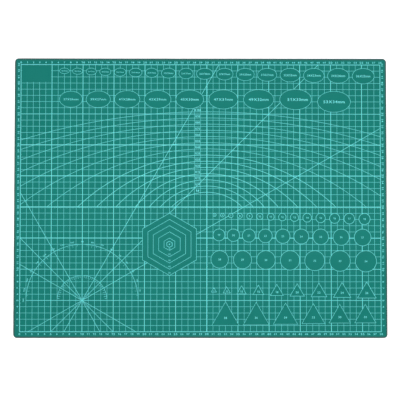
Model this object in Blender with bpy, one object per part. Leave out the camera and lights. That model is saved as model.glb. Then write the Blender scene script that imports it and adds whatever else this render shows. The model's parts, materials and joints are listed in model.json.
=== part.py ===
"""A2 craft cutting mat: five bonded PVC plies with the cutting layout printed on the upper skin.

X runs along the mat, Y across it and Z up from the underside. The printed layout is drawn in its own
coordinates, metres to the right of and above the lower left corner of the frame line.
"""

import math

import bmesh
import bpy

# Sheet outline, the same for every ply
MAT_LENGTH = 0.600
MAT_WIDTH = 0.450
CORNER_RADIUS = 0.006
CORNER_STEPS = 4
RIM_RADIUS = 0.0004
RIM_STEPS = 2
RIM_SHARE = 0.8

# Plies and the glue line between them
SKIN_THICKNESS = 0.00075
TIE_THICKNESS = 0.00030
CORE_THICKNESS = 0.00050
GLUE_LINE = 0.00005

# Ink films, in two passes, and the clearance under each
FILM_THICKNESS = 0.00006
FILM_GAP = 0.00004
HEAVY_LINE = 0.0009
FINE_LINE = 0.0005
ROUNDING_TOLERANCE = 0.00047

# Frame line and ruling
FRAME_MARGIN = 0.010
HEAVY_SPACING = 0.050
SMALLEST_LAST_SHARE = 0.1
FRAME_LENGTH = MAT_LENGTH - 2 * FRAME_MARGIN
FRAME_WIDTH = MAT_WIDTH - 2 * FRAME_MARGIN
LABEL_LENGTH = 0.050

# Ellipse templates, hung from the top of the frame. A spread is the left edge, the gap and its growth.
SMALL_LENGTHS_MM = (15.5, 16.5, 16.5, 18, 19, 20.5, 20.5, 23, 23, 26.5, 27, 29, 31, 32.5, 33.5, 34.5, 35.5)
SMALL_ELLIPSE_WIDTH = 0.009
SMALL_ELLIPSE_SPREAD = (0.0622, 0.0054)
SMALL_ELLIPSE_TOP = FRAME_WIDTH - 0.0057
SMALL_ELLIPSE_LINE = FRAME_WIDTH - 0.010
LARGE_ELLIPSES = 9
LARGE_ELLIPSE_LENGTH = 0.037
LARGE_ELLIPSE_WIDTH = 0.026
LENGTH_GROWTH = 0.002
WIDTH_GROWTH = 0.001
LARGE_ELLIPSE_SPREAD = (0.0622, 0.0060, 0.0006)
LARGE_ELLIPSE_MIDDLE = FRAME_WIDTH - 0.0562
LARGE_ELLIPSE_LINE = FRAME_WIDTH - 0.060
LAST_ELLIPSE_DROP = 0.0036

# Radius arcs: their tops climb the axis in even steps, from the arcs' base line to under the ellipses
AXIS_X = 0.300
AXIS_TOP = FRAME_WIDTH - 0.030
ARC_BASE = 0.200
LOWEST_ARC_TOP = ARC_BASE + 0.0237
HIGHEST_ARC_TOP = LARGE_ELLIPSE_MIDDLE - 0.0201
ARC_RADII_CM = (8, 10, 12, 15, 20, 25, 30, 40, 50, 60, 70, 80, 90, 100)

# Protractor
PROTRACTOR_X = 0.100
PROTRACTOR_Y = 0.050
PROTRACTOR_RADIUS = 0.090
SMALL_PROTRACTOR_RADIUS = 0.040
PROTRACTOR_FOOT = 3
TICK_ANGLE = 10
TICK_LENGTH = 0.004
RAY_ANGLES = (30, 45, 60, 120, 135, 150, 210, 225, 240, 300, 315, 330)

# Fields as left, bottom, right and top. Where templates lie, the rays are printed in the grid's pass.
DRAWING_FIELDS = (
    (0.0, 0.0, AXIS_X, LARGE_ELLIPSE_MIDDLE),
    (AXIS_X, ARC_BASE, FRAME_LENGTH, LARGE_ELLIPSE_MIDDLE),
)
TEMPLATE_FIELDS = (
    (AXIS_X, 0.0, FRAME_LENGTH, ARC_BASE),
    (0.0, LARGE_ELLIPSE_MIDDLE, FRAME_LENGTH, FRAME_WIDTH),
)

# Circle templates below the arcs: line they hang on, top above it, how many, left edge, gap and its growth
SMALLEST_CIRCLE = 0.005
CIRCLE_GROWTH = 0.001
HANGING_TOP = -0.00015
CIRCLE_ROWS = (
    (ARC_BASE - 0.010, HANGING_TOP, 14, AXIS_X + 0.0100, 0.00707, 0.0),
    (ARC_BASE - 0.040, 0.00460, 9, AXIS_X + 0.0100, 0.00380, 0.0006),
    (ARC_BASE - 0.070, HANGING_TOP, 7, AXIS_X + 0.0067, 0.00820, 0.0),
)

# Triangle templates: line through the row, middle of the row, left corner, gap, heights in millimetres
TRIANGLE_ROWS = (
    (0.070, 0.067, AXIS_X + 0.0074, 0.0107, (7, 10, 13, 15, 18, 20, 22, 24, 26)),
    (0.030, 0.029, AXIS_X + 0.0081, 0.0066, (38, 36, 34, 32, 30, 29.5)),
)

# Nested hexagons below the arcs, standing on a corner
HEXAGON_X = AXIS_X - 0.060
HEXAGON_Y = ARC_BASE - 0.060
OUTER_HEXAGON = 0.050
INNER_HEXAGONS = (
    ("hexagon_print_40mm", 0.8),
    ("hexagon_print_30mm", 0.6),
    ("hexagon_print_20mm", 0.4),
    ("hexagon_print_10mm", 0.2),
    ("hexagon_print_5mm", 0.1),
)

SKIN_GREEN = (0.015, 0.205, 0.162, 1.0)
TIE_GREEN = (0.060, 0.240, 0.200, 1.0)
CORE_GREY = (0.050, 0.060, 0.060, 1.0)
INK_AQUA = (0.200, 0.700, 0.640, 1.0)


def clear_scene():
    for old in list(bpy.data.objects):
        bpy.data.objects.remove(old, do_unlink=True)


def new_collection(name, parent):
    collection = bpy.data.collections.new(name)
    parent.children.link(collection)
    return collection


def principled(name, colour, roughness):
    material = bpy.data.materials.new(name)
    material.use_nodes = True
    shader = material.node_tree.nodes["Principled BSDF"]
    shader.inputs["Base Color"].default_value = colour
    shader.inputs["Roughness"].default_value = roughness
    shader.inputs["Metallic"].default_value = 0.0
    return material


# Plies

def round_edges(solid, edges, radius, steps):
    bmesh.ops.bevel(
        solid, geom=edges, offset=radius, offset_type="OFFSET", segments=steps, profile=0.5, affect="EDGES"
    )


def rim_edges(solid, height):
    return [edge for edge in solid.edges if all(abs(corner.co.z - height) < 1e-6 for corner in edge.verts)]


def ply(name, bottom, thickness, material, rounded=0):
    """A sheet with rounded corners. rounded is 1 for a rounded upper rim, -1 for a lower one, else 0."""
    solid = bmesh.new()
    bmesh.ops.create_cube(solid, size=1.0)
    bmesh.ops.scale(solid, vec=(MAT_LENGTH, MAT_WIDTH, thickness), verts=solid.verts)
    uprights = [edge for edge in solid.edges if edge.verts[0].co.z * edge.verts[1].co.z < 0]
    round_edges(solid, uprights, CORNER_RADIUS, CORNER_STEPS)
    if rounded:
        rim = rim_edges(solid, rounded * thickness / 2)
        round_edges(solid, rim, min(RIM_RADIUS, RIM_SHARE * thickness), RIM_STEPS)
    mesh = bpy.data.meshes.new(name)
    solid.to_mesh(mesh)
    solid.free()
    mesh.materials.append(material)
    sheet = bpy.data.objects.new(name, mesh)
    sheet.location.z = bottom + thickness / 2
    return sheet


def build_plies(parts):
    skin = principled("green_skin", SKIN_GREEN, 0.55)
    tie = principled("tie_ply", TIE_GREEN, 0.60)
    core = principled("grey_core", CORE_GREY, 0.65)
    stack = (
        ("bottom_skin", SKIN_THICKNESS, skin, -1),
        ("lower_tie_ply", TIE_THICKNESS, tie, 0),
        ("core_board", CORE_THICKNESS, core, 0),
        ("upper_tie_ply", TIE_THICKNESS, tie, 0),
        ("top_skin", SKIN_THICKNESS, skin, 1),
    )
    height = 0.0
    for name, thickness, material, rounded in stack:
        parts.objects.link(ply(name, height, thickness, material, rounded))
        height += thickness + GLUE_LINE
    return height - GLUE_LINE


# Outlines in the printed layout

def polygon(x, y, half_length, half_width, sides):
    """Corners of a regular polygon, or of a flattened one, with a corner at the top."""
    turns = [math.pi / 2 + 2 * math.pi * side / sides for side in range(sides)]
    return [(x + half_length * math.cos(turn), y + half_width * math.sin(turn)) for turn in turns]


def rectangle(left, bottom, right, top):
    return [(left, bottom), (right, bottom), (right, top), (left, top)]


def strip(start, end, width):
    """A straight printed line."""
    length = math.dist(start, end)
    side_x = (start[1] - end[1]) / length * width / 2
    side_y = (end[0] - start[0]) / length * width / 2
    return [
        (start[0] - side_x, start[1] - side_y),
        (end[0] - side_x, end[1] - side_y),
        (end[0] + side_x, end[1] + side_y),
        (start[0] + side_x, start[1] + side_y),
    ]


def steps_for(radius, angle):
    """Chords that keep an arc within the rounding tolerance."""
    chord_angle = 2 * math.acos(1 - min(ROUNDING_TOLERANCE / radius, 0.5))
    return max(2, math.ceil(angle / chord_angle))


def sides_for(radius):
    return 2 * max(4, steps_for(radius, math.pi))


def arc_strip(x, y, radius, start, end, width):
    """A curved printed line from angle start to angle end, in radians."""
    steps = steps_for(radius, abs(end - start))
    turns = [start + (end - start) * step / steps for step in range(steps + 1)]
    sides = []
    for far in (radius + width / 2, radius - width / 2):
        sides.append([(x + far * math.cos(turn), y + far * math.sin(turn)) for turn in turns])
    return sides[0] + sides[1][::-1]


class Template:
    """A closed outline to draw round, printed as a ring, with the ruling left out inside it."""

    def __init__(self, x, y, half_length, half_width, sides):
        self.place = (x, y)
        self.halves = (half_length, half_width)
        self.sides = sides

    def outline(self, offset):
        grow = offset / math.cos(math.pi / self.sides)
        return polygon(*self.place, self.halves[0] + grow, self.halves[1] + grow, self.sides)

    def ring(self):
        return [self.outline(FINE_LINE / 2), self.outline(-FINE_LINE / 2)]

    def opening(self):
        return [self.outline(0.0)]


def spread(widths, left, gap, growth=0.0):
    """Centres of a row of templates. The row ends before the one that would reach the frame."""
    centres = []
    edge = left
    for place, width in enumerate(widths):
        if edge + width > FRAME_LENGTH - HEAVY_LINE:
            break
        centres.append(edge + width / 2)
        edge += width + gap + growth * place
    return centres


def circle_templates():
    templates = []
    diameter = SMALLEST_CIRCLE
    for line, rise, count, left, gap, growth in CIRCLE_ROWS:
        sizes = [diameter + CIRCLE_GROWTH * place for place in range(count)]
        for x, size in zip(spread(sizes, left, gap, growth), sizes):
            templates.append(Template(x, line + rise - size / 2, size / 2, size / 2, sides_for(size / 2)))
        diameter += CIRCLE_GROWTH * count
    return templates


def ellipse_templates():
    templates = []
    lengths = [length / 1000 for length in SMALL_LENGTHS_MM]
    for place, x in enumerate(spread(lengths, *SMALL_ELLIPSE_SPREAD)):
        width = SMALL_ELLIPSE_WIDTH + WIDTH_GROWTH * place
        y = SMALL_ELLIPSE_TOP - width / 2
        templates.append(Template(x, y, lengths[place] / 2, width / 2, sides_for(lengths[place] / 2)))
    lengths = [LARGE_ELLIPSE_LENGTH + LENGTH_GROWTH * place for place in range(LARGE_ELLIPSES)]
    for place, x in enumerate(spread(lengths, *LARGE_ELLIPSE_SPREAD)):
        width = LARGE_ELLIPSE_WIDTH + WIDTH_GROWTH * place
        y = LARGE_ELLIPSE_MIDDLE - (LAST_ELLIPSE_DROP if place == LARGE_ELLIPSES - 1 else 0.0)
        templates.append(Template(x, y, lengths[place] / 2, width / 2, sides_for(lengths[place] / 2)))
    return templates


def triangle_templates():
    templates = []
    for line, middle, left, gap, heights_mm in TRIANGLE_ROWS:
        heights = [height / 1000 for height in heights_mm]
        sides = [height * 2 / math.sqrt(3) for height in heights]
        for x, height in zip(spread(sides, left, gap), heights):
            reach = height * 2 / 3
            templates.append(Template(x, middle - height / 2 + height / 3, reach, reach, 3))
    return templates


def hexagon(reach):
    return Template(HEXAGON_X, HEXAGON_Y, reach, reach, 6)


# Ink films

def film(name, loops, bottom, thickness):
    """A flat solid with the given outlines, made a mesh so that it can be joined and cut."""
    curve = bpy.data.curves.new(name, "CURVE")
    curve.dimensions = "2D"
    curve.fill_mode = "BOTH"
    curve.extrude = thickness / 2
    for loop in loops:
        spline = curve.splines.new("POLY")
        spline.points.add(len(loop) - 1)
        for point, (x, y) in zip(spline.points, loop):
            point.co = (x - FRAME_LENGTH / 2, y - FRAME_WIDTH / 2, 0.0, 1.0)
        spline.use_cyclic_u = True
    drawn = bpy.data.objects.new(name + "_outline", curve)
    bpy.context.scene.collection.objects.link(drawn)
    mesh = bpy.data.meshes.new_from_object(drawn.evaluated_get(bpy.context.evaluated_depsgraph_get()))
    bpy.data.objects.remove(drawn)
    bpy.data.curves.remove(curve)
    solid = bmesh.new()
    solid.from_mesh(mesh)
    bmesh.ops.remove_doubles(solid, verts=solid.verts, dist=1e-7)
    bmesh.ops.recalc_face_normals(solid, faces=solid.faces)
    bmesh.ops.dissolve_limit(solid, angle_limit=0.001, verts=solid.verts, edges=solid.edges)
    solid.to_mesh(mesh)
    solid.free()
    mesh.name = name
    made = bpy.data.objects.new(name, mesh)
    made.location.z = bottom + thickness / 2
    return made


def helpers(name, shapes, bottom, thickness, parent):
    """A hidden collection with one flat solid for each shape."""
    collection = new_collection(name, parent)
    for number, loops in enumerate(shapes):
        helper = film(f"{name}_{number}", loops, bottom, thickness)
        helper.hide_render = True
        helper.display_type = "WIRE"
        collection.objects.link(helper)
    return collection


def boolean(target, operation, collection):
    modifier = target.modifiers.new(operation.lower() + "_" + collection.name, "BOOLEAN")
    modifier.operation = operation
    modifier.operand_type = "COLLECTION"
    modifier.collection = collection
    modifier.solver = "EXACT"


def upright(x, bottom, top, width):
    return [strip((x, bottom), (x, top), width)]


def level(y, left, right, width):
    return [strip((left, y), (right, y), width)]


def steps_inside(length):
    """Places of the heavy lines between the two sides of the frame, with none crowding the last side."""
    count = math.ceil(length / HEAVY_SPACING - SMALLEST_LAST_SHARE) - 1
    return [HEAVY_SPACING * (place + 1) for place in range(count)]


def ray(angle, field):
    """The stretch of a ray that crosses a field, given as left, bottom, right and top, or None."""
    start, reach = 0.0, math.inf
    steps = (math.cos(math.radians(angle)), math.sin(math.radians(angle)))
    for origin, step, low, high in zip((PROTRACTOR_X, PROTRACTOR_Y), steps, field[:2], field[2:]):
        near, far = sorted(((low - origin) / step, (high - origin) / step))
        start = max(start, near)
        reach = min(reach, far)
    if reach - start < FINE_LINE:
        return None
    ends = [(PROTRACTOR_X + steps[0] * far, PROTRACTOR_Y + steps[1] * far) for far in (start, reach)]
    return [strip(*ends, FINE_LINE)]


def rays(fields):
    """All the rays, as far as they lie in these fields."""
    crossings = [ray(angle, field) for angle in RAY_ANGLES for field in fields]
    return [crossing for crossing in crossings if crossing]


def grid_shapes():
    """Heavy ruling, the fine lines that carry the template rows, and the rays where templates lie."""
    shapes = rays(TEMPLATE_FIELDS)
    for x in steps_inside(FRAME_LENGTH):
        on_axis = abs(x - AXIS_X) < HEAVY_LINE
        shapes.append(upright(x, AXIS_TOP if on_axis else 0.0, FRAME_WIDTH, HEAVY_LINE))
    for y in steps_inside(AXIS_TOP):
        shapes.append(level(y, 0.0, FRAME_LENGTH, HEAVY_LINE))
    shapes.append(level(SMALL_ELLIPSE_LINE, LABEL_LENGTH, FRAME_LENGTH, FINE_LINE))
    for y in (AXIS_TOP, LARGE_ELLIPSE_LINE):
        shapes.append(level(y, 0.0, FRAME_LENGTH, FINE_LINE))
    for row in CIRCLE_ROWS + TRIANGLE_ROWS:
        shapes.append(level(row[0], AXIS_X, FRAME_LENGTH, FINE_LINE))
    return shapes


def radius_arcs():
    shapes = []
    rise = (HIGHEST_ARC_TOP - LOWEST_ARC_TOP) / (len(ARC_RADII_CM) - 1)
    for place, radius_cm in enumerate(ARC_RADII_CM):
        radius = radius_cm / 100
        centre_y = LOWEST_ARC_TOP + rise * place - radius
        foot = math.acos((ARC_BASE - centre_y) / radius)
        left = min(foot, math.asin(min(1.0, AXIS_X / radius)))
        right = min(foot, math.asin(min(1.0, (FRAME_LENGTH - AXIS_X) / radius)))
        start, end = math.pi / 2 - right, math.pi / 2 + left
        shapes.append([arc_strip(AXIS_X, centre_y, radius, start, end, FINE_LINE)])
    return shapes


def protractor_shapes():
    shapes = rays(DRAWING_FIELDS)
    low, high = math.radians(PROTRACTOR_FOOT), math.radians(180 - PROTRACTOR_FOOT)
    for radius in (PROTRACTOR_RADIUS, SMALL_PROTRACTOR_RADIUS):
        shapes.append([arc_strip(PROTRACTOR_X, PROTRACTOR_Y, radius, low, high, FINE_LINE)])
    for angle in range(TICK_ANGLE, 180, TICK_ANGLE):
        if angle in RAY_ANGLES or angle == 90:
            continue
        turn = math.radians(angle)
        ends = [
            (PROTRACTOR_X + far * math.cos(turn), PROTRACTOR_Y + far * math.sin(turn))
            for far in (PROTRACTOR_RADIUS - TICK_LENGTH, PROTRACTOR_RADIUS)
        ]
        shapes.append([strip(*ends, FINE_LINE)])
    return shapes


def build_print(parts, guides, skin_top):
    ink = principled("aqua_ink", INK_AQUA, 0.50)
    templates = circle_templates() + ellipse_templates() + triangle_templates() + [hexagon(OUTER_HEXAGON)]
    first_pass = skin_top + FILM_GAP
    second_pass = first_pass + FILM_THICKNESS + FILM_GAP
    both_passes = 2 * FILM_THICKNESS + 3 * FILM_GAP
    inside = [one.opening() for one in templates]
    openings = helpers("template_openings", inside, skin_top, both_passes, guides)

    edge = HEAVY_LINE / 2
    frame = [
        rectangle(-edge, -edge, FRAME_LENGTH + edge, FRAME_WIDTH + edge),
        rectangle(edge, edge, FRAME_LENGTH - edge, FRAME_WIDTH - edge),
    ]
    grid = film("grid_print", frame, first_pass, FILM_THICKNESS)
    boolean(grid, "UNION", helpers("ruling", grid_shapes(), first_pass, FILM_THICKNESS, guides))
    boolean(grid, "DIFFERENCE", openings)
    rings = helpers("template_rings", [one.ring() for one in templates], first_pass, FILM_THICKNESS, guides)
    boolean(grid, "UNION", rings)

    axis_line = upright(AXIS_X, 0.0, AXIS_TOP, HEAVY_LINE)
    axis = film("radius_and_angle_print", axis_line, second_pass, FILM_THICKNESS)
    drawn = radius_arcs() + protractor_shapes()
    boolean(axis, "UNION", helpers("arcs_and_rays", drawn, second_pass, FILM_THICKNESS, guides))
    boolean(axis, "DIFFERENCE", openings)

    nested = [
        film(name, hexagon(share * OUTER_HEXAGON).ring(), first_pass, FILM_THICKNESS)
        for name, share in INNER_HEXAGONS
    ]
    for printed in [grid, axis] + nested:
        printed.data.materials.append(ink)
        parts.objects.link(printed)


def main():
    clear_scene()
    root = bpy.context.scene.collection
    parts = new_collection("craft_cutting_mat", root)
    guides = new_collection("cutters", root)
    skin_top = build_plies(parts)
    build_print(parts, guides, skin_top)


main()
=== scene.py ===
import json
import math

import bmesh
import bpy
import numpy as np
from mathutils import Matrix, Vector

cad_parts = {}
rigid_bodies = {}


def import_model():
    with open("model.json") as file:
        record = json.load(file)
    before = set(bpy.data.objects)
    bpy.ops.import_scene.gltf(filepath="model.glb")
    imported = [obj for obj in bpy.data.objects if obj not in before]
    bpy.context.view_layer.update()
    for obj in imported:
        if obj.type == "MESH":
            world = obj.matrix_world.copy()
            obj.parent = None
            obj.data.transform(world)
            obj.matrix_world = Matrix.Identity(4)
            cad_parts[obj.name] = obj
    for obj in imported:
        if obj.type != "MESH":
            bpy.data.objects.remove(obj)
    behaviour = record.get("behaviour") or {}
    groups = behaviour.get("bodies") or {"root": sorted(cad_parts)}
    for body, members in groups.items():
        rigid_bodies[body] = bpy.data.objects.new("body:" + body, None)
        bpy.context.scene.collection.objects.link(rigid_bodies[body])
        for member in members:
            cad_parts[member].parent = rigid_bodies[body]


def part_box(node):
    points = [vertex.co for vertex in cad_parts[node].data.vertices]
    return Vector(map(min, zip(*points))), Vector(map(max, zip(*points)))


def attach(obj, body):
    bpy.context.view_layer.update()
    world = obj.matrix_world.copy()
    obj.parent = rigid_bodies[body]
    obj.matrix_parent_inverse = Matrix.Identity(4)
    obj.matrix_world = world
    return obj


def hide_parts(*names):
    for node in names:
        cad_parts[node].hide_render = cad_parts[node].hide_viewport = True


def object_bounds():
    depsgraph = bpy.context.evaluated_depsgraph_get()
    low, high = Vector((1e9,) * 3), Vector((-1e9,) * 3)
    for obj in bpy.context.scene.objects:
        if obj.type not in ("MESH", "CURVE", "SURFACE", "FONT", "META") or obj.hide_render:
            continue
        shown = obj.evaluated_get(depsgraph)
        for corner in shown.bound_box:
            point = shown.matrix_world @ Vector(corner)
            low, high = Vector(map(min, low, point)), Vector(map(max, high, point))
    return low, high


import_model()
cad_box = [list(corner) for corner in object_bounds()]


# Camera, floor and light
# The camera stands over the middle of the mat, a little to the near side, and looks straight down as in
# the photograph. The floor is plain white board. Light comes from a white room, four soft boxes at the
# sides and one long strip box overhead, whose grid keeps it to the middle of the mat.
scene = bpy.context.scene
scene.view_settings.view_transform = "Standard"
camera = bpy.data.objects.new("camera", bpy.data.cameras.new("camera"))
camera.data.lens = 70
camera.data.sensor_width = 36
camera.location = (-0.00552, -0.03604, 1.25431)
camera.rotation_euler = (0.02580, -0.00367, 0.00064)
scene.collection.objects.link(camera)
scene.camera = camera

room = bpy.data.worlds.new("white_room")
room.use_nodes = True
room.node_tree.nodes["Background"].inputs["Color"].default_value = (1.0, 1.0, 1.0, 1.0)
room.node_tree.nodes["Background"].inputs["Strength"].default_value = 0.45
scene.world = room

box_distance, box_height = 1.1, 1.5
for turn in range(4):
    box = bpy.data.lights.new(f"soft_box_{turn}", "AREA")
    box.shape = "RECTANGLE"
    box.size = 1.2
    box.size_y = 0.8
    box.energy = 3.4
    lamp = bpy.data.objects.new(box.name, box)
    angle = math.radians(45 + 90 * turn)
    lamp.location = (box_distance * math.cos(angle), box_distance * math.sin(angle), box_height)
    lamp.rotation_euler = (math.atan2(box_distance, box_height), 0.0, angle + math.pi / 2)
    scene.collection.objects.link(lamp)

strip_box = bpy.data.lights.new("strip_box", "AREA")
strip_box.shape = "RECTANGLE"
strip_box.size = 1.4
strip_box.size_y = 0.15
strip_box.spread = math.radians(50)
strip_box.energy = 1.8
lamp = bpy.data.objects.new("strip_box", strip_box)
lamp.location = (0.06, 0.015, 1.7)
scene.collection.objects.link(lamp)

board = bpy.data.meshes.new("floor_board")
board_reach, board_height = 40.0, -0.0001
board_corners = [(side_x * board_reach, side_y * board_reach, board_height)
                 for side_x, side_y in ((-1, -1), (1, -1), (1, 1), (-1, 1))]
board.from_pydata(board_corners, [], [(0, 1, 2, 3)])
floor = bpy.data.objects.new("floor_board", board)
white = bpy.data.materials.new("white_board")
white.use_nodes = True
shader = white.node_tree.nodes["Principled BSDF"]
shader.inputs["Base Color"].default_value = (0.93, 0.93, 0.93, 1.0)
shader.inputs["Roughness"].default_value = 0.9
shader.inputs["Specular IOR Level"].default_value = 0.1
shader.inputs["Emission Color"].default_value = (1.0, 1.0, 1.0, 1.0)
shader.inputs["Emission Strength"].default_value = 0.25
board.materials.append(white)
scene.collection.objects.link(floor)


# Core board and tie plies
# The stiff grey PVC core and the two softer plies on either side of it, which show only at the trimmed
# edge. They are calendered sheets with a fine grain, bonded under heat and cut to size together.
def grain_group():
    """A shader group for calendered PVC: a fine pebbled height and a slow cloudy mask."""
    group = bpy.data.node_groups.new("pvc_grain", "ShaderNodeTree")
    for name, default in (("Grain size", 0.0004), ("Cloud size", 0.05)):
        socket = group.interface.new_socket(name, in_out="INPUT", socket_type="NodeSocketFloat")
        socket.default_value = default
    for name in ("Grain", "Cloud"):
        group.interface.new_socket(name, in_out="OUTPUT", socket_type="NodeSocketFloat")
    nodes, links = group.nodes, group.links
    entry = nodes.new("NodeGroupInput")
    leave = nodes.new("NodeGroupOutput")
    place = nodes.new("ShaderNodeTexCoord")
    for size, result, kind in (("Grain size", "Grain", "fine"), ("Cloud size", "Cloud", "slow")):
        scale = nodes.new("ShaderNodeMath")
        scale.operation = "DIVIDE"
        scale.inputs[0].default_value = 1.0
        links.new(entry.outputs[size], scale.inputs[1])
        noise = nodes.new("ShaderNodeTexNoise")
        noise.label = kind
        noise.inputs["Detail"].default_value = 2.0
        links.new(place.outputs["Object"], noise.inputs["Vector"])
        links.new(scale.outputs[0], noise.inputs["Scale"])
        links.new(noise.outputs["Fac"], leave.inputs[result])
    return group


pvc_grain = grain_group()


def ply_material(name, colour, roughness):
    """Matt PVC: the grain dents the surface, and the clouds and the grain shift its colour a little."""
    material = bpy.data.materials.new(name)
    material.use_nodes = True
    nodes, links = material.node_tree.nodes, material.node_tree.links
    shader = nodes["Principled BSDF"]
    grain = nodes.new("ShaderNodeGroup")
    grain.node_tree = pvc_grain
    tone = nodes.new("ShaderNodeMix")
    tone.data_type = "RGBA"
    tone.inputs["A"].default_value = (*[0.90 * channel for channel in colour], 1.0)
    tone.inputs["B"].default_value = (*[1.10 * channel for channel in colour], 1.0)
    links.new(grain.outputs["Cloud"], tone.inputs["Factor"])
    links.new(tone.outputs["Result"], shader.inputs["Base Color"])
    bump = nodes.new("ShaderNodeBump")
    bump.inputs["Strength"].default_value = 0.35
    bump.inputs["Distance"].default_value = 0.00004
    links.new(grain.outputs["Grain"], bump.inputs["Height"])
    links.new(bump.outputs["Normal"], shader.inputs["Normal"])
    shader.inputs["Roughness"].default_value = roughness
    shader.inputs["Specular IOR Level"].default_value = 0.10
    return material


def cut_sheet(name, node, finish, recess, foot_rounding, top_rounding):
    """A ply with round corners in place of its faceted solid. It closes the glue line, and its trimmed edge
    stands back by the recess and is rounded at the foot and the top."""
    low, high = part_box(node)
    glue = 0.00002
    corner_radius = 0.006
    corner_steps, edge_steps = 12, 5
    bottom = max(low.z - glue, cad_box[0][2])
    top = high.z + glue if high.z + glue < skin_top else high.z
    quarter_turns = [math.pi / 2 * step / edge_steps for step in range(edge_steps + 1)]
    profile = [(foot_rounding * (1 - math.sin(turn)), bottom + foot_rounding * (1 - math.cos(turn)))
               for turn in quarter_turns]
    profile += [(top_rounding * (1 - math.cos(turn)), top - top_rounding * (1 - math.sin(turn)))
                for turn in quarter_turns]
    sheet = bmesh.new()
    rings = []
    for inset, height in profile:
        radius = corner_radius - recess - inset
        ring = []
        for side_x, side_y, start in ((1, 1, 0), (-1, 1, 1), (-1, -1, 2), (1, -1, 3)):
            for step in range(corner_steps + 1):
                turn = math.pi / 2 * (start + step / corner_steps)
                ring.append(sheet.verts.new((
                    side_x * (high.x - corner_radius) + radius * math.cos(turn),
                    side_y * (high.y - corner_radius) + radius * math.sin(turn), height)))
        rings.append(ring)
    for ring, above in zip(rings, rings[1:]):
        for place in range(len(ring)):
            after = (place + 1) % len(ring)
            sheet.faces.new((ring[place], ring[after], above[after], above[place])).smooth = True
    sheet.faces.new(rings[0][::-1])
    sheet.faces.new(rings[-1])
    mesh = bpy.data.meshes.new(name)
    sheet.to_mesh(mesh)
    sheet.free()
    mesh.materials.append(finish)
    piece = bpy.data.objects.new(name, mesh)
    scene.collection.objects.link(piece)
    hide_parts(node)
    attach(piece, "root")


skin_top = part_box("top_skin")[1].z
sharp_edge = 0.00003
grey_core = ply_material("grey_core", (0.050, 0.060, 0.060), 0.70)
tie_ply = ply_material("tie_ply", (0.060, 0.240, 0.200), 0.65)
cut_sheet("stiff_core", "core_board", grey_core, 0.00010, sharp_edge, sharp_edge)
cut_sheet("lower_soft_ply", "lower_tie_ply", tie_ply, 0.00004, sharp_edge, sharp_edge)
cut_sheet("upper_soft_ply", "upper_tie_ply", tie_ply, 0.00004, sharp_edge, sharp_edge)


# Skins
# The upper and lower surface plies are soft green PVC, embossed with a fine matt grain so that the blade
# doesn't skid. The last few millimetres along the edge are painted darker and greyer: painted shade where
# the light falls off at the rounded edge.
def skin_material(name, colour, edge_shade_colour, half_length, half_width, band):
    """The plies' PVC, blended over a band along the edge to a darker colour that is painted shade."""
    material = ply_material(name, colour, 0.60)
    nodes, links = material.node_tree.nodes, material.node_tree.links
    shader = nodes["Principled BSDF"]
    place = nodes.new("ShaderNodeTexCoord")
    split = nodes.new("ShaderNodeSeparateXYZ")
    links.new(place.outputs["Object"], split.inputs[0])
    shares = []
    for axis, half in (("X", half_length), ("Y", half_width)):
        size = nodes.new("ShaderNodeMath")
        size.operation = "ABSOLUTE"
        links.new(split.outputs[axis], size.inputs[0])
        share = nodes.new("ShaderNodeMapRange")
        share.interpolation_type = "SMOOTHSTEP"
        share.inputs["From Min"].default_value = half - band
        share.inputs["From Max"].default_value = half
        links.new(size.outputs[0], share.inputs["Value"])
        shares.append(share)
    rim = nodes.new("ShaderNodeMath")
    rim.operation = "MAXIMUM"
    links.new(shares[0].outputs[0], rim.inputs[0])
    links.new(shares[1].outputs[0], rim.inputs[1])
    # Mixes in the painted edge shade towards the rim.
    edge_shading = nodes.new("ShaderNodeMix")
    edge_shading.data_type = "RGBA"
    edge_shading.inputs["B"].default_value = (*edge_shade_colour, 1.0)
    plain = shader.inputs["Base Color"].links[0].from_socket
    links.new(rim.outputs[0], edge_shading.inputs["Factor"])
    links.new(plain, edge_shading.inputs["A"])
    links.new(edge_shading.outputs["Result"], shader.inputs["Base Color"])
    return material


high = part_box("top_skin")[1]
worn_edge = 0.00040
# The second colour is painted shade for the edge band, where light falls off at the rounded edge.
green, edge_shade_green = (0.0033, 0.1735, 0.143), (0.034, 0.078, 0.072)
green_skin = skin_material("green_skin", green, edge_shade_green, high.x, high.y, 0.0042)
cut_sheet("upper_skin", "top_skin", green_skin, 0.0, sharp_edge, worn_edge)
cut_sheet("lower_skin", "bottom_skin", green_skin, 0.0, worn_edge, sharp_edge)


# Template outlines
# The circles, ellipses, triangles and hexagons to draw round are rings of aqua ink, screen-printed on the
# upper skin in the same pass as the ruling. Their places count from the frame line's lower left corner, and
# the foot of all the ink lies 0.01 mm inside the skin.
heavy_line = 0.0009
hair_line = 0.00040
low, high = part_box("grid_print")
first_top = high.z
ink_foot = skin_top - 0.00001
layout = (low.x + heavy_line / 2, low.y + heavy_line / 2)
frame_length = high.x - low.x - heavy_line
frame_width = high.y - low.y - heavy_line


def ink_material(name, colour, cover):
    """Screen-printing ink: satin, a little thin where the screen's mesh lay, so the green shows through."""
    material = bpy.data.materials.new(name)
    material.use_nodes = True
    nodes, links = material.node_tree.nodes, material.node_tree.links
    shader = nodes["Principled BSDF"]
    grain = nodes.new("ShaderNodeGroup")
    grain.node_tree = pvc_grain
    grain.inputs["Grain size"].default_value = 0.0008
    grain.inputs["Cloud size"].default_value = 0.03
    tone = nodes.new("ShaderNodeMix")
    tone.data_type = "RGBA"
    tone.inputs["A"].default_value = (*[cover * channel for channel in colour], 1.0)
    tone.inputs["B"].default_value = (*colour, 1.0)
    links.new(grain.outputs["Grain"], tone.inputs["Factor"])
    links.new(tone.outputs["Result"], shader.inputs["Base Color"])
    shader.inputs["Roughness"].default_value = 0.5
    shader.inputs["Specular IOR Level"].default_value = 0.3
    return material


aqua_ink = ink_material("aqua_ink", (0.175, 0.82, 0.835), 0.88)


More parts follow.
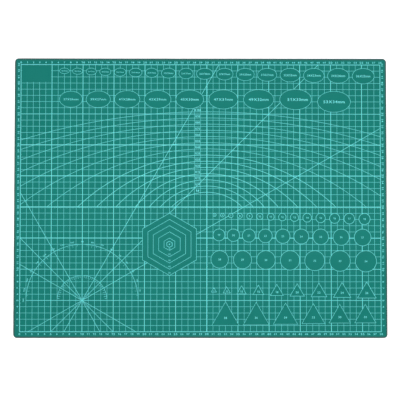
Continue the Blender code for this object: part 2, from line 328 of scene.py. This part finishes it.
def tree(name, sizes):
    """A Geometry Nodes tree with its sockets, and the node that its geometry goes into last."""
    group = bpy.data.node_groups.new(name, "GeometryNodeTree")
    group.interface.new_socket("Geometry", in_out="INPUT", socket_type="NodeSocketGeometry")
    for size, kind, default in sizes:
        group.interface.new_socket(size, in_out="INPUT", socket_type=kind).default_value = default
    group.interface.new_socket("Ink", in_out="INPUT", socket_type="NodeSocketMaterial")
    group.interface.new_socket("Geometry", in_out="OUTPUT", socket_type="NodeSocketGeometry")
    entry = group.nodes.new("NodeGroupInput")
    join = group.nodes.new("GeometryNodeRealizeInstances")
    paint = group.nodes.new("GeometryNodeSetMaterial")
    leave = group.nodes.new("NodeGroupOutput")
    group.links.new(join.outputs[0], paint.inputs["Geometry"])
    group.links.new(entry.outputs["Ink"], paint.inputs["Material"])
    group.links.new(paint.outputs[0], leave.inputs["Geometry"])
    return group, entry, join


def printed(name, points, edges, attributes, group, values, nodes=()):
    """Runs the tree on these points and edges and keeps the result as a plain mesh that rides on the mat."""
    mesh = bpy.data.meshes.new(name)
    mesh.from_pydata(points, edges, [])
    for title, kind, numbers in attributes:
        mesh.attributes.new(title, kind, "POINT").data.foreach_set("value", numbers)
    piece = bpy.data.objects.new(name, mesh)
    scene.collection.objects.link(piece)
    modifier = piece.modifiers.new(group.name, "NODES")
    modifier.node_group = group
    names = {item.name: item.identifier for item in group.interface.items_tree if item.in_out == "INPUT"}
    for title, value in {"Ink": aqua_ink, **values}.items():
        modifier[names[title]] = value
    shape = bpy.data.meshes.new_from_object(piece.evaluated_get(bpy.context.evaluated_depsgraph_get()))
    piece.modifiers.clear()
    piece.data = shape
    bpy.data.meshes.remove(mesh)
    shape.name = name
    if nodes:
        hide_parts(*nodes)
    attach(piece, "root")


def ring_tree():
    """One closed ring round each point: a polygon or ellipse of the point's half length and half width."""
    group, entry, join = tree("template_rings", (
        ("Sides", "NodeSocketInt", 64),
        ("Line width", "NodeSocketFloat", hair_line),
        ("Ink height", "NodeSocketFloat", 0.0001),
    ))
    nodes, links = group.nodes, group.links
    outline = nodes.new("GeometryNodeCurvePrimitiveCircle")
    outline.inputs["Radius"].default_value = 1.0
    links.new(entry.outputs["Sides"], outline.inputs["Resolution"])
    upright = nodes.new("GeometryNodeTransform")
    upright.inputs["Rotation"].default_value = (0.0, 0.0, math.pi / 2)
    links.new(outline.outputs["Curve"], upright.inputs["Geometry"])
    halves = nodes.new("ShaderNodeCombineXYZ")
    for axis, title in (("X", "half_length"), ("Y", "half_width")):
        half = nodes.new("GeometryNodeInputNamedAttribute")
        half.data_type = "FLOAT"
        half.inputs["Name"].default_value = title
        links.new(half.outputs["Attribute"], halves.inputs[axis])
    halves.inputs["Z"].default_value = 1.0
    dots = nodes.new("GeometryNodeMeshToPoints")
    links.new(entry.outputs["Geometry"], dots.inputs["Mesh"])
    place = nodes.new("GeometryNodeInstanceOnPoints")
    links.new(dots.outputs[0], place.inputs["Points"])
    links.new(upright.outputs[0], place.inputs["Instance"])
    links.new(halves.outputs[0], place.inputs["Scale"])
    real = nodes.new("GeometryNodeRealizeInstances")
    links.new(place.outputs[0], real.inputs[0])
    flat = nodes.new("GeometryNodeSetCurveNormal")
    flat.mode = "Z_UP"
    links.new(real.outputs[0], flat.inputs["Curve"])
    section = nodes.new("GeometryNodeCurvePrimitiveQuadrilateral")
    links.new(entry.outputs["Line width"], section.inputs["Width"])
    links.new(entry.outputs["Ink height"], section.inputs["Height"])
    sweep = nodes.new("GeometryNodeCurveToMesh")
    links.new(flat.outputs[0], sweep.inputs["Curve"])
    links.new(section.outputs[0], sweep.inputs["Profile Curve"])
    links.new(sweep.outputs[0], join.inputs[0])
    return group


template_rings = ring_tree()
outlines = []


def templates(name, shapes, sides, width, top, nodes=()):
    """Rings for shapes of (x, y, half length, half width), seated on the skin."""
    middle = (ink_foot + top) / 2
    points = [(layout[0] + x, layout[1] + y, middle) for x, y, _, _ in shapes]
    printed(name, points, [], (
        ("half_length", "FLOAT", [shape[2] for shape in shapes]),
        ("half_width", "FLOAT", [shape[3] for shape in shapes]),
    ), template_rings, {
        "Sides": sides, "Line width": width / math.cos(math.pi / sides), "Ink height": top - ink_foot,
    }, nodes)


def keep_clear(shapes, sides):
    """Notes the shapes that the ruling, the arcs and the rays stop at."""
    for x, y, half_length, half_width in shapes:
        turns = [math.pi / 2 + 2 * math.pi * side / sides for side in range(sides)]
        outlines.append([(x + half_length * math.cos(turn), y + half_width * math.sin(turn))
                         for turn in turns])


circles = []
diameter = 5
for row, line, count, left, gap, growth, width in (
    ("upper", 0.18985, 14, 0.3100, 0.00707, 0.0, 0.00060),
    ("middle", 0.16460, 9, 0.3100, 0.00380, 0.0006, 0.00055),
    ("lower", 0.12985, 7, 0.3067, 0.00820, 0.0, 0.00052),
):
    edge = left
    for place in range(count):
        size = (diameter + place) / 1000
        circles.append((edge + size / 2, line - size / 2, size / 2, size / 2))
        edge += size + gap + growth * place
    diameter += count
    templates(f"{row}_circle_templates", circles[-count:], 48, width, first_top)
keep_clear(circles, 24)

ellipses = []
first_ellipse = 0.0622
small_lengths_mm = (15.5, 16.5, 16.5, 18, 19, 20.5, 20.5, 23, 23, 26.5, 27, 29, 31, 32.5, 33.5, 34.5, 35.5)
small_row_top, small_gap = 0.0057, 0.0054
edge = first_ellipse
for place, length in enumerate(small_lengths_mm):
    width = (9 + place) / 1000
    middle = frame_width - small_row_top - width / 2
    ellipses.append((edge + length / 2000, middle, length / 2000, width / 2))
    edge += length / 1000 + small_gap
large_row_middle, last_middle, large_gap = 0.0562, 0.0598, 0.0060
edge = first_ellipse
for place in range(9):
    length, width = (37 + 2 * place) / 1000, (26 + place) / 1000
    middle = frame_width - (last_middle if place == 8 else large_row_middle)
    ellipses.append((edge + length / 2, middle, length / 2, width / 2))
    edge += length + large_gap + 0.0006 * place
templates("small_ellipse_templates", ellipses[:-9], 72, 0.00042, first_top)
templates("large_ellipse_templates", ellipses[-9:], 72, 0.00043, first_top)
keep_clear(ellipses, 36)

triangles = []
for row, middle, left, gap, heights_mm, width in (
    ("upper", 0.067, 0.3074, 0.0107, (7, 10, 13, 15, 18, 20, 22, 24, 26), 0.00052),
    ("lower", 0.029, 0.3081, 0.0066, (38, 36, 34, 32, 30, 29.5), 0.00043),
):
    edge = left
    for height_mm in heights_mm:
        side = height_mm / 1000 * 2 / math.sqrt(3)
        reach = height_mm / 1000 * 2 / 3
        triangles.append((edge + side / 2, middle - height_mm / 6000, reach, reach))
        edge += side + gap
    templates(f"{row}_triangle_templates", triangles[-len(heights_mm):], 3, width, first_top)
keep_clear(triangles, 3)

hexagon_x, hexagon_y = 0.240, 0.140
hexagons = [(hexagon_x, hexagon_y, reach, reach) for reach in (0.050, 0.040, 0.030, 0.020, 0.010, 0.005)]
templates("hexagon_templates", hexagons[:-1], 6, 0.00048, first_top, (
    "hexagon_print_40mm", "hexagon_print_30mm", "hexagon_print_20mm", "hexagon_print_10mm"))
templates("smallest_hexagon_template", hexagons[-1:], 6, 0.00065, first_top, ("hexagon_print_5mm",))
keep_clear(hexagons[:1], 6)
field_left, field_right = 0.0012, 0.0486
field_bottom, field_top = frame_width - 0.0282, frame_width - 0.0008
outlines.append([(field_left, field_bottom), (field_right, field_bottom), (field_right, field_top),
                 (field_left, field_top)])


# Frame line and ruling
# The net of lines printed inside the frame: one each centimetre, heavier at each fifth but for the 40 that
# passes between the ellipses. They stop at every template, at the bare label field in the upper left corner
# and, for one, at the protractor's 180.
def ribbon_tree():
    """A flat printed line of one width along each run of edges."""
    group, entry, join = tree("printed_lines", (
        ("Line width", "NodeSocketFloat", hair_line),
        ("Ink height", "NodeSocketFloat", 0.0001),
    ))
    nodes, links = group.nodes, group.links
    runs = nodes.new("GeometryNodeMeshToCurve")
    links.new(entry.outputs["Geometry"], runs.inputs["Mesh"])
    flat = nodes.new("GeometryNodeSetCurveNormal")
    flat.mode = "Z_UP"
    links.new(runs.outputs[0], flat.inputs["Curve"])
    section = nodes.new("GeometryNodeCurvePrimitiveQuadrilateral")
    links.new(entry.outputs["Line width"], section.inputs["Width"])
    links.new(entry.outputs["Ink height"], section.inputs["Height"])
    sweep = nodes.new("GeometryNodeCurveToMesh")
    sweep.inputs["Fill Caps"].default_value = True
    links.new(flat.outputs[0], sweep.inputs["Curve"])
    links.new(section.outputs[0], sweep.inputs["Profile Curve"])
    links.new(sweep.outputs[0], join.inputs[0])
    return group


printed_lines = ribbon_tree()


def bare_stretches(start, end):
    """The stretches of a straight line that no template covers."""
    covered = []
    for outline in outlines:
        enter, leave = 0.0, 1.0
        for corner, following in zip(outline, outline[1:] + outline[:1]):
            across = (corner[1] - following[1], following[0] - corner[0])
            first, last = [across[0] * (point[0] - corner[0]) + across[1] * (point[1] - corner[1])
                           for point in (start, end)]
            if first < 0 and last < 0:
                leave = -1.0
                break
            if first < 0:
                enter = max(enter, first / (first - last))
            elif last < 0:
                leave = min(leave, first / (first - last))
        if enter < leave:
            covered.append((enter, leave))
    stretches, reached = [], 0.0
    for enter, leave in sorted(covered):
        if enter > reached:
            stretches.append((reached, enter))
        reached = max(reached, leave)
    if reached < 1.0:
        stretches.append((reached, 1.0))
    return [[tuple(a + (b - a) * share for a, b in zip(start, end)) for share in pair] for pair in stretches]


def lines(name, paths, width, top, nodes=()):
    """Printed lines along paths of layout points, left out where a template lies, and seated on the skin."""
    points, edges = [], []
    for path in paths:
        for start, end in zip(path, path[1:]):
            for first, last in bare_stretches(start, end):
                if points and math.dist(points[-1], first) < 1e-7:
                    edges.append((len(points) - 1, len(points)))
                    points.append(last)
                else:
                    edges.append((len(points), len(points) + 1))
                    points.extend((first, last))
    placed = [(layout[0] + x, layout[1] + y, (ink_foot + top) / 2) for x, y in points]
    sizes = {"Line width": width, "Ink height": top - ink_foot}
    printed(name, placed, edges, (), printed_lines, sizes, nodes)


ink_step = 0.000004
protractor_foot = 0.0097
for name, places, width, level in (
    ("centimetre_lines_across", [x for x in range(1, 58) if x % 5], hair_line, 4),
    ("heavy_lines_across", [x for x in range(5, 58, 5) if x != 30], heavy_line, 2),
    ("middle_line_across", [30], 0.0011, 2),
):
    paths = [[(x / 100, 0.0), (x / 100, frame_width)] for x in places]
    lines(name, paths, width, first_top - level * ink_step)
for name, places, width, level in (
    ("centimetre_lines_along", [y for y in range(1, 43) if y % 5 or y == 40], hair_line, 3),
    ("light_lines_along", [5, 10, 35], 0.00073, 1),
    ("heavy_lines_along", [15, 20, 25, 30], 0.00107, 1),
):
    paths = [[(protractor_foot if y == 5 else 0.0, y / 100), (frame_length, y / 100)] for y in places]
    lines(name, paths, width, first_top - level * ink_step)

half_line = 0.00078 / 2
corners = [(0.0, 0.0), (0.0, frame_width), (frame_length, frame_width), (frame_length, 0.0)]
border = bmesh.new()
for inward in (-half_line, half_line):
    for height in (ink_foot, first_top):
        for x, y in corners:
            side_x, side_y = (1 if x == 0.0 else -1), (1 if y == 0.0 else -1)
            place = (layout[0] + x + inward * side_x, layout[1] + y + inward * side_y, height)
            border.verts.new(place)
border.verts.ensure_lookup_table()
for place in range(4):
    after = (place + 1) % 4
    for low_ring, high_ring in ((0, 4), (4, 12), (12, 8), (8, 0)):
        border.faces.new([border.verts[index] for index in (
            low_ring + place, low_ring + after, high_ring + after, high_ring + place)])
bmesh.ops.recalc_face_normals(border, faces=border.faces)
mesh = bpy.data.meshes.new("frame_line")
border.to_mesh(mesh)
border.free()
mesh.materials.append(aqua_ink)
frame_line = bpy.data.objects.new("frame_line", mesh)
scene.collection.objects.link(frame_line)
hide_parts("grid_print")
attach(frame_line, "root")


# Radius arcs
# Fourteen arcs of 8 cm to 100 cm radius on one axis, printed in the second pass over the ruling. They show
# the curve to cut, and end at the heavy line under them or at the frame.
second_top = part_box("radius_and_angle_print")[1].z
axis_x = 0.300
arc_base = 0.200
lowest_arc, arc_step = 0.0237, 0.010
arc_radii_cm = (8, 10, 12, 15, 20, 25, 30, 40, 50, 60, 70, 80, 90, 100)
steps = 120
arc_paths = []
for place, radius_cm in enumerate(arc_radii_cm):
    radius = radius_cm / 100
    centre_y = arc_base + lowest_arc + arc_step * place - radius
    foot = math.acos((arc_base - centre_y) / radius)
    left = min(foot, math.asin(min(1.0, axis_x / radius)))
    right = min(foot, math.asin(min(1.0, (frame_length - axis_x) / radius)))
    turns = [-left + (left + right) * step / steps for step in range(steps + 1)]
    arc = [(axis_x + radius * math.sin(turn), centre_y + radius * math.cos(turn)) for turn in turns]
    arc_paths.append(arc)
lines("small_radius_arcs", arc_paths[:7], 0.00064, second_top - 2 * ink_step, ("radius_and_angle_print",))
lines("large_radius_arcs", arc_paths[7:], 0.00046, second_top - 2 * ink_step)


# Protractor
# Two half circles about the point where the rays meet, ticked by the degree outside and each five degrees
# inside, and rays at the angles that are cut most often. The rays run on to the frame.
centre = (0.100, 0.050)
outer_radius, inner_radius = 0.090, 0.040


def at_angle(degrees, radius):
    """The layout point at this angle and distance from the protractor's centre."""
    turn = math.radians(degrees)
    return centre[0] + radius * math.cos(turn), centre[1] + radius * math.sin(turn)


half_circles = []
steps = 96
for radius, first, last in ((outer_radius, -2.5, 177.5), (inner_radius, 3.0, 177.0)):
    half_circles.append([at_angle(first + (last - first) * step / steps, radius)
                         for step in range(steps + 1)])
lines("protractor_arcs", half_circles, 0.00042, second_top - ink_step)
ten_degrees, five_degrees, one_degree = 0.0044, 0.0030, 0.0008
ticks = []
for angle in range(1, 180):
    length = ten_degrees if angle % 10 == 0 else five_degrees if angle % 5 == 0 else one_degree
    ticks.append([at_angle(angle, outer_radius - length), at_angle(angle, outer_radius)])
lines("degree_ticks", ticks, 0.00025, second_top - 3 * ink_step)
ten_degrees, five_degrees = 0.0048, 0.0036
ticks = []
for angle in range(5, 180, 5):
    length = ten_degrees if angle % 10 == 0 else five_degrees
    ticks.append([at_angle(angle, inner_radius - length), at_angle(angle, inner_radius)])
lines("five_degree_ticks", ticks, 0.00038, second_top - 3 * ink_step)
ray_start = 0.0020
for name, angles, width in (
    ("long_angle_rays", (30, 45, 60), 0.00060),
    ("angle_rays", (120, 135, 150, 210, 225, 240, 300, 315, 330), 0.00053),
):
    rays = []
    for angle in angles:
        across, up = math.cos(math.radians(angle)), math.sin(math.radians(angle))
        reach_x = ((frame_length if across > 0 else 0.0) - centre[0]) / across
        reach_y = ((frame_width if up > 0 else 0.0) - centre[1]) / up
        far = min(reach_x, reach_y)
        rays.append([(centre[0] + across * reach, centre[1] + up * reach) for reach in (ray_start, far)])
    lines(name, rays, width, second_top)


# Millimetre ticks
# Short ticks inside the frame line, beside the axis of the arcs and under their base line, so that a length
# can be read off there to the millimetre.
def tick_tree():
    """Ticks at even steps along each run of edges, to the right of it, with a longer one at each fifth."""
    group, entry, join = tree("millimetre_ticks", (
        ("Spacing", "NodeSocketFloat", 0.001),
        ("Tick width", "NodeSocketFloat", 0.00016),
        ("Tick length", "NodeSocketFloat", 0.0016),
        ("Fifth tick length", "NodeSocketFloat", 0.0024),
        ("Ink height", "NodeSocketFloat", 0.0001),
    ))
    nodes, links = group.nodes, group.links
    runs = nodes.new("GeometryNodeMeshToCurve")
    links.new(entry.outputs["Geometry"], runs.inputs["Mesh"])
    marks = nodes.new("GeometryNodeResampleCurve")
    marks.mode = "LENGTH"
    links.new(runs.outputs[0], marks.inputs["Curve"])
    links.new(entry.outputs["Spacing"], marks.inputs["Length"])
    place_on_run = nodes.new("GeometryNodeSplineParameter")
    counted = nodes.new("GeometryNodeStoreNamedAttribute")
    counted.data_type = "INT"
    counted.inputs["Name"].default_value = "tick_number"
    links.new(marks.outputs[0], counted.inputs["Geometry"])
    links.new(place_on_run.outputs["Index"], counted.inputs["Value"])
    dots = nodes.new("GeometryNodeCurveToPoints")
    dots.mode = "EVALUATED"
    links.new(counted.outputs[0], dots.inputs["Curve"])
    number = nodes.new("GeometryNodeInputNamedAttribute")
    number.data_type = "INT"
    number.inputs["Name"].default_value = "tick_number"
    fifth = nodes.new("ShaderNodeMath")
    fifth.operation = "MODULO"
    fifth.inputs[1].default_value = 5.0
    links.new(number.outputs["Attribute"], fifth.inputs[0])
    short = nodes.new("ShaderNodeMath")
    short.operation = "GREATER_THAN"
    short.inputs[1].default_value = 0.5
    links.new(fifth.outputs[0], short.inputs[0])
    length = nodes.new("ShaderNodeMix")
    links.new(short.outputs[0], length.inputs["Factor"])
    links.new(entry.outputs["Fifth tick length"], length.inputs["A"])
    links.new(entry.outputs["Tick length"], length.inputs["B"])
    size = nodes.new("ShaderNodeCombineXYZ")
    links.new(entry.outputs["Tick width"], size.inputs["X"])
    links.new(length.outputs[0], size.inputs["Y"])
    links.new(entry.outputs["Ink height"], size.inputs["Z"])
    block = nodes.new("GeometryNodeMeshCube")
    block.inputs["Size"].default_value = (1.0, 1.0, 1.0)
    aside = nodes.new("GeometryNodeTransform")
    aside.inputs["Translation"].default_value = (0.0, -0.5, 0.0)
    links.new(block.outputs["Mesh"], aside.inputs["Geometry"])
    place = nodes.new("GeometryNodeInstanceOnPoints")
    links.new(dots.outputs["Points"], place.inputs["Points"])
    links.new(aside.outputs[0], place.inputs["Instance"])
    along = nodes.new("FunctionNodeAlignRotationToVector")
    along.axis = "X"
    along.pivot_axis = "Z"
    links.new(dots.outputs["Tangent"], along.inputs["Vector"])
    links.new(along.outputs[0], place.inputs["Rotation"])
    links.new(size.outputs[0], place.inputs["Scale"])
    links.new(place.outputs[0], join.inputs[0])
    return group


millimetre_ticks = tick_tree()
tick_top = first_top + ink_step
ticked_height = 0.400
right_side = [(frame_length, frame_width), (frame_length, 0.0)]
for name, runs, width, length in (
    ("frame_ticks", [[(0.0, 0.0), (0.0, ticked_height)], [(0.050, frame_width), right_side[0]], right_side,
                     [(frame_length, 0.0), (0.0, 0.0)]], 0.00016, 0.0010),
    ("axis_ticks", [[(axis_x, 0.0), (axis_x, ticked_height)]], 0.00020, 0.0012),
    ("base_line_ticks", [[(0.0, arc_base), (frame_length, arc_base)]], 0.00026, 0.0016),
):
    points = [(layout[0] + x, layout[1] + y, (ink_foot + tick_top) / 2) for run in runs for x, y in run]
    edges = [(2 * place, 2 * place + 1) for place in range(len(runs))]
    printed(name, points, edges, (), millimetre_ticks, {
        "Tick width": width, "Tick length": length, "Fifth tick length": 1.5 * length,
        "Ink height": tick_top - ink_foot,
    })


# Numerals
# Plain sans numerals in the same ink: the centimetres outside the frame line, the radii beside the axis,
# the degrees round the protractor, and inside every template but the smallest hexagon its size in
# millimetres.
characters = "0123456789XRm"
numeral_top = first_top + 2 * ink_step


def flagged_one(stroke, tall, thickness):
    """The numeral 1 with a flag at its head, where the plain face has a bare bar."""
    flag = 0.20 * tall
    tip_foot, tip_head, root_foot = 0.72 * tall, 0.86 * tall, 0.80 * tall
    outline = [(0.0, tip_foot), (flag, root_foot), (flag, 0.0), (flag + stroke, 0.0), (flag + stroke, tall),
               (flag, tall), (0.0, tip_head)]
    solid = bmesh.new()
    foot, head = [[solid.verts.new((x, y, height)) for x, y in outline]
                  for height in (-thickness / 2, thickness / 2)]
    solid.faces.new(foot)
    solid.faces.new(head)
    for place in range(len(outline)):
        after = (place + 1) % len(outline)
        solid.faces.new((foot[place], foot[after], head[after], head[place]))
    return solid


def weight_of_type(name, boldness):
    """The numerals in one weight, each a unit tall and centred in its place, and how wide each place is. No
    figure's place is narrower than the nought's, so the 1 stands with room on either side."""
    collection = bpy.data.collections.new(name)
    scene.collection.children.link(collection)
    tall = None
    widths = {}
    for place, character in enumerate(characters):
        text = bpy.data.curves.new(f"{name}_{place:02d}", "FONT")
        text.body = character
        text.align_x = "LEFT"
        text.resolution_u = 2
        text.offset = boldness
        text.extrude = (numeral_top - ink_foot) / 2
        drawn = bpy.data.objects.new(text.name, text)
        collection.objects.link(drawn)
        shape = bpy.data.meshes.new_from_object(drawn.evaluated_get(bpy.context.evaluated_depsgraph_get()))
        bpy.data.objects.remove(drawn)
        bpy.data.curves.remove(text)
        solid = bmesh.new()
        solid.from_mesh(shape)
        bmesh.ops.remove_doubles(solid, verts=solid.verts, dist=1e-5)
        flat = {face for face in solid.faces if len({round(corner.co.z, 5) for corner in face.verts}) == 1}
        within = [side for side in solid.edges if flat.issuperset(side.link_faces)]
        bmesh.ops.beautify_fill(solid, faces=list(flat), edges=within)
        places = np.array([corner.co for corner in solid.verts])
        tall = tall or float(np.ptp(places[:, 1]))
        if character == "1":
            solid.free()
            solid = flagged_one(float(np.ptp(places[:, 0])), tall, float(np.ptp(places[:, 2])))
            places = np.array([corner.co for corner in solid.verts])
        own_width = float(np.ptp(places[:, 0])) / tall
        widths[character] = max(own_width, widths.get("0", 0.0)) if character.isdigit() else own_width
        for corner in solid.verts:
            corner.co.x = (corner.co.x - places[:, 0].min()) / tall - own_width / 2
            corner.co.y = corner.co.y / tall - 0.5
        bmesh.ops.recalc_face_normals(solid, faces=solid.faces)
        solid.to_mesh(shape)
        solid.free()
        collection.objects.link(bpy.data.objects.new(f"{name}_{place:02d}", shape))
    return collection, widths


def numeral_tree():
    """One numeral at each point, of the point's height and turn."""
    group, entry, join = tree("printed_numerals", (
        ("Numerals", "NodeSocketCollection", None),
        ("Stretch", "NodeSocketFloat", 1.0),
    ))
    nodes, links = group.nodes, group.links
    shapes = nodes.new("GeometryNodeCollectionInfo")
    shapes.inputs["Separate Children"].default_value = True
    shapes.inputs["Reset Children"].default_value = True
    links.new(entry.outputs["Numerals"], shapes.inputs["Collection"])
    values = {}
    for title, kind in (("numeral", "INT"), ("height", "FLOAT"), ("turn", "FLOAT")):
        value = nodes.new("GeometryNodeInputNamedAttribute")
        value.data_type = kind
        value.inputs["Name"].default_value = title
        values[title] = value.outputs["Attribute"]
    wide = nodes.new("ShaderNodeMath")
    wide.operation = "MULTIPLY"
    links.new(values["height"], wide.inputs[0])
    links.new(entry.outputs["Stretch"], wide.inputs[1])
    size = nodes.new("ShaderNodeCombineXYZ")
    links.new(wide.outputs[0], size.inputs["X"])
    links.new(values["height"], size.inputs["Y"])
    size.inputs["Z"].default_value = 1.0
    spin = nodes.new("ShaderNodeCombineXYZ")
    links.new(values["turn"], spin.inputs["Z"])
    dots = nodes.new("GeometryNodeMeshToPoints")
    links.new(entry.outputs["Geometry"], dots.inputs["Mesh"])
    place = nodes.new("GeometryNodeInstanceOnPoints")
    place.inputs["Pick Instance"].default_value = True
    links.new(dots.outputs[0], place.inputs["Points"])
    links.new(shapes.outputs[0], place.inputs["Instance"])
    links.new(values["numeral"], place.inputs["Instance Index"])
    links.new(spin.outputs[0], place.inputs["Rotation"])
    links.new(size.outputs[0], place.inputs["Scale"])
    links.new(place.outputs[0], join.inputs[0])
    return group


printed_numerals = numeral_tree()
letter_gap = 0.16


def label_length(text, weight, stretch):
    """The length of a label whose numerals are one unit tall."""
    return stretch * (sum(weight[1][character] for character in text) + letter_gap * (len(text) - 1))


def numerals(name, labels, weight, stretch):
    """Labels of (text, x, y, height, turn), each centred on its place in the layout."""
    points, which, heights, turns = [], [], [], []
    for text, x, y, height, turn in labels:
        along = -label_length(text, weight, stretch) / 2
        for character in text:
            half = stretch * weight[1][character] / 2
            middle = height * (along + half)
            points.append((layout[0] + x + middle * math.cos(turn), layout[1] + y + middle * math.sin(turn),
                           (ink_foot + numeral_top) / 2))
            which.append(characters.index(character))
            heights.append(height)
            turns.append(turn)
            along += 2 * half + stretch * letter_gap
    printed(name, points, [], (
        ("numeral", "INT", which), ("height", "FLOAT", heights), ("turn", "FLOAT", turns),
    ), printed_numerals, {"Numerals": weight[0], "Stretch": stretch})


plain_type = weight_of_type("plain_type", 0.012)
bold_type = weight_of_type("bold_type", 0.030)
quarter = math.pi / 2
off_frame = 0.0036
tall_numeral, low_numeral = 0.0032, 0.0027
ruler = []
for x in range(59):
    height = tall_numeral if x % 5 == 0 else low_numeral
    ruler.append((str(x), x / 100, -off_frame, height, 0.0))
    ruler.append((str(x), x / 100, frame_width + off_frame, height, 0.0))
for y in range(1, 44):
    height = tall_numeral if y % 5 == 0 else low_numeral
    ruler.append((str(y), -off_frame, y / 100, height, quarter))
    ruler.append((str(y), frame_length + off_frame, y / 100, height, -quarter))
numerals("ruler_numerals", ruler, plain_type, 1.30)

sizes = []
for x, y, reach, _ in circles:
    sizes.append((str(round(2000 * reach)), x, y, min(0.0029, 0.8 * reach), 0.0))
for x, y, reach, _ in triangles:
    sizes.append((str(round(1500 * reach)), x, y - 0.0005, min(0.0033, 0.37 * reach), 0.0))
for reach in (0.050, 0.040, 0.030, 0.020):
    sizes.append((str(round(1000 * reach)), hexagon_x, hexagon_y + 0.0043 - reach, 0.0023, 0.0))
sizes.append(("10", hexagon_x, hexagon_y - 0.0075, 0.0021, 0.0))
numerals("template_sizes", sizes, plain_type, 1.0)

for name, row, share, stretch in (("small_ellipse_sizes", ellipses[:-9], 0.65, 1.0),
                                  ("large_ellipse_sizes", ellipses[-9:], 0.65, 1.20)):
    sizes = []
    for x, y, half_length, half_width in row:
        text = f"{round(2000 * half_length)}X{round(2000 * half_width)}mm"
        height = share * 2 * half_length / label_length(text, plain_type, stretch)
        off_middle = 0.0034 if text == "51X33mm" else 0.0
        sizes.append((text, x + off_middle, y, height, 0.0))
    numerals(name, sizes, plain_type, stretch)

radius_x, lowest_radius = axis_x - 0.0147, arc_base + 0.0266
radii = [(f"R{radius_cm}", radius_x, lowest_radius + arc_step * place, 0.0035, 0.0)
         for place, radius_cm in enumerate(arc_radii_cm)]
numerals("radius_numerals", radii, bold_type, 0.85)

off_arc = 0.0042
angles = [(str(angle), *at_angle(angle, outer_radius + off_arc), 0.0022, math.radians(angle) - quarter)
          for angle in range(0, 181, 10)]
numerals("angle_numerals", angles, plain_type, 1.25)

for collection, _ in (plain_type, bold_type):
    for drawn in list(collection.objects):
        bpy.data.objects.remove(drawn)
    bpy.data.collections.remove(collection)


# Middle marks
# A dot of the same ink at the hexagons' middle, and a small ring of it where the protractor's rays meet, to
# stand the point of a compass on.
marks = [(hexagon_x, hexagon_y, 0.0005, 0.0005), (centre[0], centre[1], 0.0009, 0.0009)]
templates("middle_marks", marks, 16, 0.0009, second_top + ink_step)
